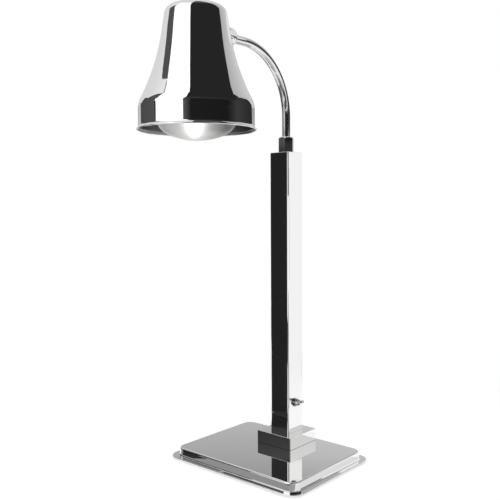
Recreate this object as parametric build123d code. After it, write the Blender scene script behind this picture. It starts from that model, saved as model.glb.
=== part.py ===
from build123d import *
import os
from math import asin, atan2, cos, degrees, radians, sin, tan

# A table lamp that keeps food warm. Sizes are in millimetres.
# Z points up, X runs along the base's long side, and the arm reaches towards -Y.
# The origin is on the table, under the middle of the lamp's bounding box.

# Fits
thread_clearance = 0.05
slip_clearance = 0.2
running_clearance = 0.1
ball_clearance = 0.15

# Base tray
plate_length = 254.0
plate_depth = 192.0
plate_corner_radius = 17.0
plate_edge_radius = 2.5
plate_top = 18.0
wall_runout = 2.0
cover_sheet = 1.5
flange_reach = 9.0
flange_corner_radius = 22.0
flange_top = 4.5
flange_root_radius = 1.2
lip_depth = 2.2
lip_edge_radius = 1.2

# Ballast, bottom plate and feet
ballast_wall_gap = 6.5
ballast_corner_radius = 10.0
bottom_plate_sheet = 1.5
bottom_plate_margin = 4.0
foot_height = 4.0
foot_radius = 9.0
foot_taper = 1.0
foot_inset = 18.0
foot_screw_radius = 2.0
foot_screw_length = 9.0
foot_screw_head_radius = 3.6
foot_screw_head_height = 2.0
foot_recess_clearance = 0.5
plate_screw_spacing_x = 130.0
plate_screw_spacing_y = 150.0
plate_screw_radius = 2.0
plate_screw_length = 7.0
plate_screw_head_radius = 3.6
plate_screw_head_height = 1.8

# Post
post_set_in = 45.2
post_side = 40.0
post_wall = 1.5
post_corner_radius = 2.5
post_top = 523.0
post_flange_side = 66.0
post_flange_thickness = 8.0
post_bolt_spacing = 53.0
post_bolt_radius = 3.0
post_bolt_head_radius = 5.0
post_bolt_head_height = 5.0
post_bolt_end_gap = 0.5
collar_side = 73.0
collar_height = 21.0
collar_wall = 2.0
collar_edge_radius = 0.8

# Post top
cap_plate = 1.5
cap_edge = 0.5
cap_skirt_depth = 12.0
cap_skirt_wall = 2.0
bush_radius = 10.0
bush_bore_radius = 6.0
bush_flange_radius = 14.0
bush_flange_thickness = 3.0
bush_stand = 14.0
friction_washer_thickness = 1.0
stem_ring_height = 6.0
nut_across_flats = 24.0
nut_height = 27.0
nut_chamfer = 3.0
nut_foot_chamfer = 0.6

# Arm
arm_rise = 169.3
arm_reach = 145.6
arm_bend_radius = 107.0
tube_radius = 7.0
tube_wall = 1.0
cable_radius = 3.5

# Swivel ball: depths run from the ball's centre towards the shade
ball_radius = 15.0
ball_wall = 2.6
tube_depth_in_ball = 6.0
tilt_out = 35.0
tilt_in = 20.0
slot_clearance = 0.4
seat_radius = 12.5
seat_back = 16.0
washer_face = 7.6
nipple_radius = 5.0
nipple_bore_radius = 3.6
nipple_start = 3.4
nipple_stick_out = 2.5
ball_nut_across_flats = 14.0
ball_nut_thickness = 3.0
inner_saddle_radius = 10.0
inner_saddle_stand = 4.3
spring_washer_thickness = 1.2
spring_washer_radius = 9.0
lock_nut_across_flats = 17.0
lock_nut_thickness = 5.0

# Shade: heights are above its rim
shade_offset = 69.2
shade_sheet = 1.0
shade_height = 181.0
ball_below_crown = 32.5
crown_radius = 44.7
crown_round = 14.0
waist_radius = 57.6
waist_height = 97.5
waist_round = 330.0
shoulder_radius = 86.1
shoulder_height = 37.6
shoulder_round = 25.0
lip_height = 4.5
lip_round = 4.0
rim_radius = 88.8

# Lampholder
holder_foot_length = 48.0
holder_foot_width = 16.0
holder_foot_sheet = 2.0
holder_height = 46.0
holder_radius = 22.0
holder_neck_radius = 13.5
holder_neck_height = 5.0
holder_shoulder_height = 4.0
holder_bore_depth = 33.0
holder_wall_at_mouth = 1.5
shell_sheet = 0.5
contact_radius = 4.0
contact_height = 2.4
foot_plate_screw_spacing = 38.0
foot_plate_screw_radius = 2.0
foot_plate_screw_length = 8.5
foot_plate_screw_head_radius = 3.8
foot_plate_screw_head_height = 2.4
foot_plate_nut_across_flats = 7.0
foot_plate_nut_height = 3.2
holder_screw_spacing = 14.0
holder_screw_radius = 1.5
holder_screw_length = 9.0
holder_screw_head_radius = 2.6

# Bulb: a reflector heat bulb, heights are above its face
bulb_length = 178.0
bulb_radius = 62.5
bulb_face_round = 110.0
bulb_edge_round = 34.0
bulb_back_round = 74.0
bulb_back_slope = 45.0
bulb_back_height = 70.6
bulb_neck_radius = 18.5
bulb_neck_round = 20.0
bulb_shoulder_height = 6.0
bulb_shoulder_round = 4.0
bulb_glass_wall = 1.2
screw_cap_radius = 13.1
screw_cap_length = 26.0
screw_cap_sheet = 0.5
insulator_radius = 10.0
insulator_height = 4.0
bulb_contact_radius = 4.8
bulb_contact_height = 2.0
bulb_stem_radius = 4.0
bulb_stem_bottom = 96.0
support_radius = 0.6
filament_height = 74.0
filament_ring_radius = 11.0
filament_radius = 0.7
filament_gap_angle = 40.0

# Switch: depths run outwards from the post's face
switch_height = 91.0
switch_body_length = 28.0
switch_body_width = 16.0
switch_body_depth = 26.0
switch_pocket_depth = 5.0
bushing_radius = 6.0
bushing_stand = 7.0
bushing_bore_radius = 4.0
bushing_mouth_radius = 4.6
switch_nut_across_flats = 14.0
switch_nut_thickness = 2.4
lock_washer_radius = 7.4
lock_washer_thickness = 0.8
pivot_depth = 1.5
pivot_radius = 3.6
lever_root_radius = 1.8
lever_tip_radius = 2.4
lever_stand = 18.5
lever_tail = 5.0
lever_tail_radius = 1.2
lever_angle = 13.0
tab_length = 7.0
tab_width = 4.8
tab_thickness = 0.8
tab_spacing = 16.0

# Wiring in the post
inlet_height = 60.0
inlet_bore_radius = 3.8
grommet_neck_radius = 6.0
grommet_flange_radius = 8.5
grommet_flange_thickness = 1.6
block_bottom = 140.0
block_height = 32.0
block_width = 22.0
block_depth = 22.0
block_screw_radius = 1.5
block_screw_length = 9.0
block_screw_head_radius = 3.0
block_screw_head_height = 1.8
terminal_screw_radius = 1.8
terminal_screw_depth = 5.0
terminal_screw_stand = 0.6
screw_slot_width = 0.8
terminal_pitch = 6.6
terminal_row_spacing = 18.0
earth_stud_height = 120.0
earth_stud_radius = 2.0
earth_stud_length = 9.0
earth_nut_across_flats = 7.0
earth_nut_thickness = 3.2
lead_radius = 1.1
lead_spacing = 2.8

# Places worked out from the sizes above
flange_length = plate_length + 2 * (wall_runout + flange_reach)
flange_depth = plate_depth + 2 * (wall_runout + flange_reach)
post_offset = plate_depth / 2 - post_set_in
base_y = (arm_reach + shade_offset + rim_radius - post_offset - flange_depth / 2) / 2
post_y = base_y + post_offset
ball_y = post_y - arm_reach
ball_z = post_top + arm_rise
shade_y = ball_y - shade_offset
shade_top = ball_z + ball_below_crown
rim_z = shade_top - shade_height
bell_lean = (waist_radius - crown_radius) / (shade_height - waist_height)
bell_radius_at_ball = crown_radius + ball_below_crown * bell_lean
ballast_length = plate_length - 2 * (cover_sheet + ballast_wall_gap)
ballast_depth = plate_depth - 2 * (cover_sheet + ballast_wall_gap)
ballast_bottom = foot_height + bottom_plate_sheet
ballast_top = plate_top - cover_sheet
nut_top = post_top + nut_height
bush_top = post_top + bush_stand
arm_foot_z = bush_top + friction_washer_thickness + running_clearance
stem_ring_top = arm_foot_z + stem_ring_height
upper_washer_top = stem_ring_top + running_clearance + friction_washer_thickness
post_inner_half = post_side / 2 - post_wall
tube_end_depth = ball_radius - tube_depth_in_ball
ball_inner_radius = ball_radius - ball_wall
inner_saddle_face = shade_offset - bell_radius_at_ball + inner_saddle_stand
lock_nut_face = inner_saddle_face + spring_washer_thickness
nipple_end = lock_nut_face + lock_nut_thickness + nipple_stick_out
holder_top = shade_top - shade_sheet - holder_foot_sheet
holder_mouth = holder_top - holder_height
bulb_top = holder_mouth + holder_bore_depth - contact_height
bulb_face = bulb_top - bulb_length
bulb_neck_top = bulb_length - bulb_contact_height - insulator_height - screw_cap_length
bulb_neck_shoulder = bulb_neck_top - bulb_shoulder_height
shell_inner_radius = screw_cap_radius + slip_clearance
shell_outer_radius = shell_inner_radius + shell_sheet

# Local frames: the swivel's Z runs from the ball to the shade, the switch's Z out of the post
swivel = Plane(origin=(0, ball_y, ball_z), x_dir=(1, 0, 0), z_dir=(0, -1, 0))
switch_frame = Plane(origin=(post_side / 2, post_y, switch_height), x_dir=(0, 1, 0), z_dir=(1, 0, 0))
base_axis = Pos(0, base_y, 0)
post_axis = Pos(0, post_y, 0)
shade_axis = Pos(0, shade_y, 0)
standing = (Align.CENTER, Align.CENTER, Align.MIN)


def disc(radius, low, high, bore=0.0):
    """Round solid between two heights, with a bore through it if one is given."""
    solid = Pos(0, 0, low) * Cylinder(radius, high - low, align=standing)
    if bore:
        solid -= Pos(0, 0, low) * Cylinder(bore, high - low, align=standing)
    return solid


def square_bar(side, corner, low, high):
    """Upright square bar with rounded corners between two heights."""
    return Pos(0, 0, low) * extrude(RectangleRounded(side, side, corner), high - low)


def leaning_plate(length, depth, corner, low, high, runout=0.0):
    """Rounded plate between two heights, whose walls run out by runout towards the bottom."""
    lean = degrees(atan2(runout, high - low))
    outline = Pos(0, 0, high) * RectangleRounded(length, depth, corner)
    return extrude(outline, high - low, dir=(0, 0, -1), taper=-lean)


def hex_prism(across_flats, low, high):
    """Hexagonal bar between two heights, with corners on its X axis."""
    outline = RegularPolygon(across_flats / 2, 6, major_radius=False)
    return Pos(0, 0, low) * extrude(outline, high - low)


def plain_nut(across_flats, low, high, bore):
    """Hexagon nut with a round bore."""
    return hex_prism(across_flats, low, high) - disc(bore, low, high)


def screw(radius, length, head_radius, head_height):
    """Screw whose head sits below the origin and whose shank runs up, with a cross recess."""
    recess_depth = head_height / 2
    recess = Box(head_radius, head_radius / 4, recess_depth, align=standing)
    recess += Box(head_radius / 4, head_radius, recess_depth, align=standing)
    return disc(radius, 0, length) + disc(head_radius, -head_height, 0) - Pos(0, 0, -head_height) * recess


def rod(start, end, radius):
    """Straight round rod from one point to another."""
    line = Line(start, end)
    return sweep(Plane(origin=start, z_dir=line % 0) * Circle(radius), path=line)


def bent_rod(points, bend_radius, radius):
    """Round rod along straight runs joined by equal arcs."""
    path = FilletPolyline(*points, radius=bend_radius)
    return sweep(Plane(origin=points[0], z_dir=path % 0) * Circle(radius), path=path)


def arm_path(end_depth):
    """Centre line of the arm: straight up, a quarter circle, then level to a depth inside the ball."""
    start = (0, post_y, arm_foot_z)
    corner = (0, post_y, ball_z)
    end = (0, ball_y + end_depth, ball_z)
    return FilletPolyline(start, corner, end, radius=arm_bend_radius)


def shade_outline():
    """Outer line of the shade from the rim to the crown's centre: radius across, height up."""
    points = [
        (rim_radius, 0),
        (shoulder_radius, lip_height),
        (shoulder_radius, shoulder_height),
        (waist_radius, waist_height),
        (crown_radius, shade_height),
        (0, shade_height),
    ]
    rounds = [lip_round, shoulder_round, waist_round, crown_round]
    return FilletPolyline(*points, radius=rounds)


def spun(profile):
    """Solid of revolution of a profile drawn with radius across and height up."""
    return revolve(Plane.XZ * make_face(profile), Axis.Z)


def shade_body():
    """The shade's sheet, spun round its axis, before any hole."""
    return Pos(0, shade_y, rim_z) * spun(offset(shade_outline(), shade_sheet, side=Side.LEFT))


def shade_filled():
    """All that the shade's outer surface encloses."""
    closing = Polyline((0, shade_height), (0, 0), (rim_radius, 0))
    return Pos(0, shade_y, rim_z) * spun(shade_outline() + closing)


def foot_places():
    """Centres of the four feet on the ballast's corners."""
    spread_x = ballast_length - 2 * foot_inset
    spread_y = ballast_depth - 2 * foot_inset
    return base_axis * GridLocations(spread_x, spread_y, 2, 2)


def post_bolt_places():
    return post_axis * GridLocations(post_bolt_spacing, post_bolt_spacing, 2, 2)


def plate_screw_places():
    return base_axis * GridLocations(plate_screw_spacing_x, plate_screw_spacing_y, 2, 2)


def base_cover():
    """Pressed tray standing upside down: top, leaning wall, flat flange and a turned-down lip."""
    cover = leaning_plate(plate_length, plate_depth, plate_corner_radius, flange_top, plate_top, wall_runout)
    lip_bottom = flange_top - lip_depth
    cover += leaning_plate(flange_length, flange_depth, flange_corner_radius, lip_bottom, flange_top)
    flange_face = cover.faces().filter_by(Axis.Z).sort_by(Axis.Z)[-2]
    cover = fillet(flange_face.inner_wires()[0].edges(), flange_root_radius)
    flange_face = cover.faces().filter_by(Axis.Z).sort_by(Axis.Z)[-2]
    cover = fillet(flange_face.outer_wire().edges(), lip_edge_radius)
    cover = fillet(cover.faces().sort_by(Axis.Z)[-1].edges(), plate_edge_radius)
    cover -= leaning_plate(
        plate_length - 2 * cover_sheet,
        plate_depth - 2 * cover_sheet,
        plate_corner_radius - cover_sheet,
        flange_top - cover_sheet,
        plate_top - cover_sheet,
        wall_runout,
    )
    cover -= leaning_plate(
        flange_length - 2 * cover_sheet,
        flange_depth - 2 * cover_sheet,
        flange_corner_radius - cover_sheet,
        lip_bottom,
        flange_top - cover_sheet,
    )
    cover = base_axis * cover
    return cover - post_bolt_places() * disc(post_bolt_radius + slip_clearance, 0, plate_top)


def ballast_plate():
    """Steel weight under the tray's top, counterbored for the post bolts and tapped for the feet."""
    plate = base_axis * leaning_plate(
        ballast_length, ballast_depth, ballast_corner_radius, ballast_bottom, ballast_top
    )
    head_top = ballast_bottom + post_bolt_head_height + slip_clearance
    plate -= post_bolt_places() * disc(post_bolt_radius + slip_clearance, 0, ballast_top)
    plate -= post_bolt_places() * disc(post_bolt_head_radius + slip_clearance, 0, head_top)
    foot_hole_top = foot_height + foot_screw_length
    plate -= foot_places() * disc(foot_screw_radius + thread_clearance, 0, foot_hole_top)
    plate_hole_top = foot_height + plate_screw_length + slip_clearance
    return plate - plate_screw_places() * disc(plate_screw_radius + thread_clearance, 0, plate_hole_top)


def base_bottom_plate():
    """Flat sheet that closes the base from below."""
    plate = base_axis * leaning_plate(
        ballast_length + 2 * bottom_plate_margin,
        ballast_depth + 2 * bottom_plate_margin,
        ballast_corner_radius + bottom_plate_margin,
        foot_height,
        ballast_bottom,
    )
    plate -= foot_places() * disc(foot_screw_radius + slip_clearance, 0, ballast_bottom)
    return plate - plate_screw_places() * disc(plate_screw_radius + slip_clearance, 0, ballast_bottom)


def bottom_plate_screws():
    pan_screw = screw(
        plate_screw_radius,
        plate_screw_length,
        plate_screw_head_radius,
        plate_screw_head_height,
    )
    return Part() + plate_screw_places() * (Pos(0, 0, foot_height) * pan_screw)


def foot_screw_seat():
    """Height inside a foot where its screw's head bears."""
    return foot_height / 2 + slip_clearance


def rubber_foot(place):
    """Tapered rubber foot with a recess for its screw's head."""
    foot = Cone(foot_radius - foot_taper, foot_radius, foot_height, align=standing)
    foot -= disc(foot_screw_radius + slip_clearance, 0, foot_height)
    foot -= disc(foot_screw_head_radius + foot_recess_clearance, 0, foot_screw_seat())
    return place * foot


def foot_screws():
    pan_screw = screw(foot_screw_radius, foot_screw_length, foot_screw_head_radius, foot_screw_head_height)
    return Part() + foot_places() * (Pos(0, 0, foot_screw_seat()) * pan_screw)


def post_bolts():
    """Four cap bolts from inside the ballast, up through the tray into the post's flange."""
    seat = ballast_bottom + post_bolt_head_height + slip_clearance
    length = plate_top + post_flange_thickness - post_bolt_end_gap - seat
    bolt = disc(post_bolt_radius, 0, length) + disc(post_bolt_head_radius, -post_bolt_head_height, 0)
    socket_depth = post_bolt_head_height / 2
    bolt -= hex_prism(post_bolt_head_radius, -post_bolt_head_height, socket_depth - post_bolt_head_height)
    return Part() + post_bolt_places() * (Pos(0, 0, seat) * bolt)


def post_flange():
    """Square plate welded round the post's foot, tapped for the bolts."""
    plate = square_bar(post_flange_side, post_corner_radius, plate_top, plate_top + post_flange_thickness)
    plate -= square_bar(post_side, post_corner_radius, plate_top, plate_top + post_flange_thickness)
    plate = post_axis * plate
    return plate - post_bolt_places() * disc(
        post_bolt_radius + thread_clearance, plate_top, plate_top + post_flange_thickness
    )


def foot_collar():
    """Square box cover that slides down the post and hides its flange."""
    top = plate_top + collar_height
    collar = Pos(0, 0, plate_top) * Box(collar_side, collar_side, collar_height, align=standing)
    rims = collar.edges().filter_by(Axis.Z) + collar.faces().sort_by(Axis.Z)[-1].edges()
    collar = fillet(rims, collar_edge_radius)
    inside = collar_side - 2 * collar_wall
    collar -= Pos(0, 0, plate_top) * Box(inside, inside, collar_height - collar_wall, align=standing)
    collar -= square_bar(post_side + 2 * slip_clearance, post_corner_radius + slip_clearance, plate_top, top)
    return post_axis * collar


def post_tube():
    """Polished square tube with holes for the switch, the cord inlet and the terminal block."""
    top = post_top - cap_plate
    tube = square_bar(post_side, post_corner_radius, plate_top, top)
    tube -= square_bar(2 * post_inner_half, post_corner_radius - post_wall, plate_top, top)
    tube = post_axis * tube
    tube -= switch_frame * disc(bushing_radius + slip_clearance, -post_side / 2, 0)
    tube -= rear_face(inlet_height) * disc(grommet_neck_radius, -post_side / 2, 0)
    return tube - rear_face(block_middle()) * disc(block_screw_radius + slip_clearance, -post_side / 2, 0)


def rear_face(height):
    """Frame on the post's rear face, with Z pointing away from the post."""
    return Plane(origin=(0, post_y + post_side / 2, height), x_dir=(-1, 0, 0), z_dir=(0, 1, 0))


def block_middle():
    return block_bottom + block_height / 2


def post_top_cap():
    """Plug for the post's top: a flush plate and a square skirt inside the tube."""
    plate_bottom = post_top - cap_plate
    plate = square_bar(post_side, post_corner_radius, plate_bottom, post_top)
    plate = chamfer(plate.faces().sort_by(Axis.Z)[-1].edges(), cap_edge)
    skirt_side = 2 * (post_inner_half - slip_clearance)
    skirt_corner = post_corner_radius - post_wall
    skirt = square_bar(skirt_side, skirt_corner, plate_bottom - cap_skirt_depth, plate_bottom)
    skirt -= Pos(0, 0, plate_bottom - cap_skirt_depth) * Box(
        skirt_side - 2 * cap_skirt_wall, skirt_side - 2 * cap_skirt_wall, cap_skirt_depth, align=standing
    )
    return post_axis * (plate + skirt - disc(bush_radius + slip_clearance, plate_bottom, post_top))


def post_bush():
    """Threaded bush held from below the cap, which the hexagon nut pulls tight."""
    flange_top_z = post_top - cap_plate
    bush = disc(bush_flange_radius, flange_top_z - bush_flange_thickness, flange_top_z)
    bush += disc(bush_radius, flange_top_z, bush_top)
    return post_axis * (bush - disc(bush_bore_radius, flange_top_z - bush_flange_thickness, bush_top))


def washer_radius():
    return bush_radius - slip_clearance


def lower_friction_washer():
    return post_axis * disc(washer_radius(), bush_top, bush_top + friction_washer_thickness, bush_bore_radius)


def upper_friction_washer():
    low = stem_ring_top + running_clearance
    return post_axis * disc(washer_radius(), low, upper_washer_top, tube_radius + slip_clearance)


def gland_nut():
    """Tall hexagon nut: it traps the arm's ring between two washers and guides the tube in its lip."""
    half_corner = nut_across_flats / 2 / cos(radians(30))
    blank = Pos(0, 0, post_top) * Cylinder(half_corner, nut_height, align=standing)
    blank = chamfer(blank.edges().group_by(Axis.Z)[-1], nut_chamfer)
    blank = chamfer(blank.edges().group_by(Axis.Z)[0], nut_foot_chamfer)
    nut = hex_prism(nut_across_flats, post_top, nut_top) & blank
    nut -= disc(bush_radius + thread_clearance, post_top, upper_washer_top)
    return post_axis * (nut - disc(tube_radius + running_clearance, upper_washer_top, nut_top))


def arm_stem_ring():
    """Ring brazed round the tube's lower end, which turns inside the nut."""
    return post_axis * disc(washer_radius(), arm_foot_z, stem_ring_top, tube_radius)


def arm_tube():
    """Bent tube from the hexagon nut to the swivel ball."""
    path = arm_path(tube_end_depth)
    start = Pos(0, post_y, arm_foot_z)
    tube = sweep(start * Circle(tube_radius), path=path)
    return tube - sweep(start * Circle(tube_radius - tube_wall), path=path)


def swivel_ball():
    """Hollow ball on the tube's end, with a slot towards the shade in which the nipple tilts."""
    ball = Sphere(ball_radius) - Sphere(ball_inner_radius)
    half_width = nipple_radius + slot_clearance
    window = Plane.XZ * Pos(0, ball_radius) * Rectangle(2 * half_width, 2 * ball_radius)
    slot = revolve(window, Axis.X, revolution_arc=tilt_out + tilt_in)
    ball -= Rot(X=-tilt_out) * slot
    for angle in (-tilt_out, tilt_in):
        ball -= Rot(X=angle) * disc(half_width, 0, 2 * ball_radius)
    ball -= disc(tube_radius, -2 * ball_radius, -tube_end_depth)
    return swivel * ball


def ball_seat():
    """Turned cup that bears on the outside of the ball and slides over its slot."""
    cup = disc(seat_radius, 0, seat_back, nipple_radius + running_clearance)
    return swivel * (cup - Sphere(ball_radius + ball_clearance))


def ball_inner_washer():
    """Domed washer that bears on the inside of the ball."""
    dome = Sphere(ball_inner_radius - ball_clearance)
    dome &= disc(ball_radius, washer_face, ball_radius)
    return swivel * (dome - disc(nipple_radius + running_clearance, 0, ball_radius))


def swivel_nipple():
    """Hollow threaded tube that draws ball, seat and shade together and passes the leads."""
    return swivel * disc(nipple_radius, nipple_start, nipple_end, nipple_bore_radius)


def nipple_ball_nut():
    high = washer_face - running_clearance
    low = high - ball_nut_thickness
    return swivel * plain_nut(ball_nut_across_flats, low, high, nipple_radius + thread_clearance)


def outer_saddle():
    """Spacer with one flat face for the seat and one hollowed to fit the shade's outside."""
    blank = disc(seat_radius, seat_back + running_clearance, shade_offset, nipple_radius + thread_clearance)
    return swivel * blank - shade_filled()


def inner_saddle():
    """Spacer that fits the shade's inside and gives the lock nut a flat face."""
    blank = disc(inner_saddle_radius, 0, inner_saddle_face, nipple_radius + thread_clearance)
    return (swivel * blank & shade_filled()) - shade_body()


def nipple_spring_washer():
    bore = nipple_radius + thread_clearance
    return swivel * disc(spring_washer_radius, inner_saddle_face, lock_nut_face, bore)


def nipple_lock_nut():
    high = lock_nut_face + lock_nut_thickness
    return swivel * plain_nut(lock_nut_across_flats, lock_nut_face, high, nipple_radius + thread_clearance)


def foot_plate_screw_places():
    return shade_axis * GridLocations(foot_plate_screw_spacing, 0, 2, 1)


def holder_screw_places():
    return shade_axis * GridLocations(holder_screw_spacing, 0, 2, 1)


def shade():
    """Spun bell shade with a hole for the nipple and two in its crown for the lampholder's foot."""
    body = shade_body()
    body -= swivel * disc(nipple_radius + slip_clearance, 0, shade_offset)
    low = shade_top - 2 * shade_sheet
    return body - foot_plate_screw_places() * disc(foot_plate_screw_radius + slip_clearance, low, shade_top)


def lampholder_foot():
    """Strip under the crown that carries the lampholder."""
    top = shade_top - shade_sheet
    outline = SlotOverall(holder_foot_length, holder_foot_width)
    strip = shade_axis * Pos(0, 0, holder_top) * extrude(outline, holder_foot_sheet)
    strip -= foot_plate_screw_places() * disc(foot_plate_screw_radius + slip_clearance, holder_top, top)
    return strip - holder_screw_places() * (Pos(0, 0, holder_top) * countersunk_hole())


def countersunk_hole():
    """Hole for a countersunk screw through the lampholder's foot."""
    narrow = holder_screw_radius + slip_clearance
    wide = holder_screw_head_radius + slip_clearance
    return Cone(narrow, wide, holder_foot_sheet, align=standing)


def foot_plate_screws():
    """Two pan-head screws down through the crown."""
    pan_screw = screw(
        foot_plate_screw_radius,
        foot_plate_screw_length,
        foot_plate_screw_head_radius,
        foot_plate_screw_head_height,
    )
    return Part() + foot_plate_screw_places() * (Pos(0, 0, shade_top) * Rot(X=180) * pan_screw)


def foot_plate_nuts():
    nut = plain_nut(
        foot_plate_nut_across_flats,
        holder_top - foot_plate_nut_height,
        holder_top,
        foot_plate_screw_radius + thread_clearance,
    )
    return Part() + foot_plate_screw_places() * nut


def holder_screws():
    """Two countersunk screws from the foot into the porcelain."""
    countersink = Cone(holder_screw_radius, holder_screw_head_radius, holder_foot_sheet, align=standing)
    shank = disc(holder_screw_radius, -holder_screw_length, 0)
    return Part() + holder_screw_places() * (Pos(0, 0, holder_top) * (countersink + shank))


def lampholder_body():
    """Porcelain lampholder: a stepped round body with a bore for the screw shell."""
    wide_top = holder_top - holder_neck_height - holder_shoulder_height
    body = disc(holder_radius, holder_mouth, wide_top)
    body = chamfer(body.edges().group_by(Axis.Z)[0], holder_wall_at_mouth)
    shoulder = Cone(holder_radius, holder_neck_radius, holder_shoulder_height, align=standing)
    body += Pos(0, 0, wide_top) * shoulder
    body += disc(holder_neck_radius, wide_top + holder_shoulder_height, holder_top)
    bore_top = holder_mouth + holder_bore_depth
    body -= disc(shell_outer_radius, holder_mouth, bore_top)
    body = shade_axis * body
    screw_hole = disc(holder_screw_radius + thread_clearance, holder_top - holder_screw_length, holder_top)
    return body - holder_screw_places() * screw_hole - head_lead_runs(thread_clearance)


def lampholder_shell():
    """Brass screw shell that lines the lampholder's bore."""
    return shade_axis * disc(shell_outer_radius, holder_mouth, bulb_top, shell_inner_radius)


def lampholder_contact():
    """Brass contact at the bottom of the lampholder's bore."""
    return shade_axis * disc(contact_radius, bulb_top, bulb_top + contact_height)


def bulb_outline():
    """Outer line of the bulb's glass from its face's centre to its neck: radius across, height up."""
    edge_centre = bulb_radius - bulb_edge_round
    turn = degrees(asin(edge_centre / (bulb_face_round - bulb_edge_round)))
    edge_level = bulb_face_round - (bulb_face_round - bulb_edge_round) * cos(radians(turn))
    neck_bend = bulb_back_height + (bulb_radius - bulb_neck_radius) / tan(radians(bulb_back_slope))
    face = CenterArc((0, bulb_face_round), bulb_face_round, -90, turn)
    edge = CenterArc((edge_centre, edge_level), bulb_edge_round, turn - 90, 90 - turn)
    back = FilletPolyline(
        (bulb_radius, edge_level),
        (bulb_radius, bulb_back_height),
        (bulb_neck_radius, neck_bend),
        (bulb_neck_radius, bulb_neck_shoulder),
        (screw_cap_radius, bulb_neck_top),
        radius=[bulb_back_round, bulb_neck_round, bulb_shoulder_round],
    )
    return face + edge + back


def bulb_glass():
    """Glass envelope of the bulb: a domed face, a full edge and a back that narrows to the cap."""
    profile = offset(bulb_outline(), bulb_glass_wall, side=Side.LEFT)
    return Pos(0, shade_y, bulb_face) * spun(profile)


def cap_bottom():
    return bulb_face + bulb_neck_top


def bulb_cap():
    """Screw cap crimped on the neck: a disc at the neck and the threaded shell above it."""
    cap = disc(screw_cap_radius, cap_bottom(), cap_bottom() + screw_cap_length)
    inside = screw_cap_radius - screw_cap_sheet
    return shade_axis * (cap - disc(inside, cap_bottom() + screw_cap_sheet, cap_bottom() + screw_cap_length))


def bulb_contact():
    """Glass insulator and solder contact at the cap's end."""
    low = cap_bottom() + screw_cap_length
    insulator = Cone(screw_cap_radius - screw_cap_sheet, insulator_radius, insulator_height, align=standing)
    return shade_axis * (
        Pos(0, 0, low) * insulator + disc(bulb_contact_radius, bulb_top - bulb_contact_height, bulb_top)
    )


def bulb_stem():
    """Glass stem inside the bulb, down from the cap."""
    return shade_axis * disc(bulb_stem_radius, bulb_face + bulb_stem_bottom, cap_bottom())


def bulb_supports():
    """Wires from the stem that carry the filament's ends."""
    low = bulb_face + filament_height
    high = bulb_face + bulb_stem_bottom
    half_gap = radians(filament_gap_angle / 2)
    end_x = filament_ring_radius * cos(half_gap)
    end_y = filament_ring_radius * sin(half_gap)
    wires = Part()
    for side in (-1, 1):
        top = (bulb_stem_radius / 2, side * bulb_stem_radius / 2, high)
        wires += rod(top, (end_x, side * end_y, low), support_radius)
    return shade_axis * wires - bulb_stem() - bulb_filament()


def bulb_filament():
    """Filament: an open ring in the reflector's focus."""
    section = Plane.XZ * Pos(filament_ring_radius, bulb_face + filament_height) * Circle(filament_radius)
    ring = revolve(section, Axis.Z, revolution_arc=360 - filament_gap_angle)
    return shade_axis * Rot(Z=filament_gap_angle / 2) * ring


def switch_body():
    """Moulded switch case inside the post, with a pocket for the lever's tail."""
    inner_face = -post_wall
    case = Pos(0, 0, inner_face - switch_body_depth) * Box(
        switch_body_width, switch_body_length, switch_body_depth, align=standing
    )
    return switch_frame * (case - disc(bushing_bore_radius, inner_face - switch_pocket_depth, inner_face))


def switch_bushing():
    """Threaded bushing with a ball socket for the lever and a mouth that opens outwards."""
    bushing = disc(bushing_radius, -post_wall, bushing_stand)
    bushing -= disc(bushing_bore_radius, -post_wall, pivot_depth + bushing_bore_radius)
    mouth_low = pivot_depth + bushing_bore_radius
    throat = Cone(bushing_bore_radius, bushing_mouth_radius, bushing_stand - mouth_low, align=standing)
    return switch_frame * (bushing - Pos(0, 0, mouth_low) * throat)


def switch_lock_washer():
    bore = bushing_radius + thread_clearance
    return switch_frame * disc(lock_washer_radius, 0, lock_washer_thickness, bore)


def switch_nut():
    high = lock_washer_thickness + switch_nut_thickness
    nut = plain_nut(switch_nut_across_flats, lock_washer_thickness, high, bushing_radius + thread_clearance)
    return switch_frame * nut


def switch_lever():
    """Bat lever on its pivot ball, tipped up by its working angle."""
    blade_length = lever_stand - pivot_depth - lever_tip_radius
    lever = Sphere(pivot_radius)
    lever += Cone(lever_root_radius, lever_tip_radius, blade_length, align=standing)
    lever += Pos(0, 0, blade_length) * Sphere(lever_tip_radius)
    lever += disc(lever_tail_radius, -lever_tail, 0)
    return switch_frame * Pos(0, 0, pivot_depth) * Rot(X=-lever_angle) * lever


def switch_terminals():
    """Two solder tabs at the back of the switch."""
    back = -post_wall - switch_body_depth
    tab = Box(tab_width, tab_thickness, tab_length, align=(Align.CENTER, Align.CENTER, Align.MAX))
    return switch_frame * (Part() + GridLocations(0, tab_spacing, 1, 2) * (Pos(0, 0, back) * tab))


def cord_grommet():
    """Rubber grommet snapped into the post's rear wall, where the mains cord enters."""
    grommet = disc(grommet_neck_radius, -post_wall, 0)
    grommet += disc(grommet_flange_radius, 0, grommet_flange_thickness)
    grommet += disc(grommet_flange_radius, -post_wall - grommet_flange_thickness, -post_wall)
    bore = disc(inlet_bore_radius, -post_wall - grommet_flange_thickness, grommet_flange_thickness)
    return rear_face(inlet_height) * (grommet - bore)


def terminal_places():
    """Frames on the terminal block's front face, one for each screw."""
    front = Plane(
        origin=(0, post_y + post_inner_half - block_depth, block_middle()),
        x_dir=(1, 0, 0),
        z_dir=(0, -1, 0),
    )
    return front * GridLocations(terminal_pitch, terminal_row_spacing, 3, 2)


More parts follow.
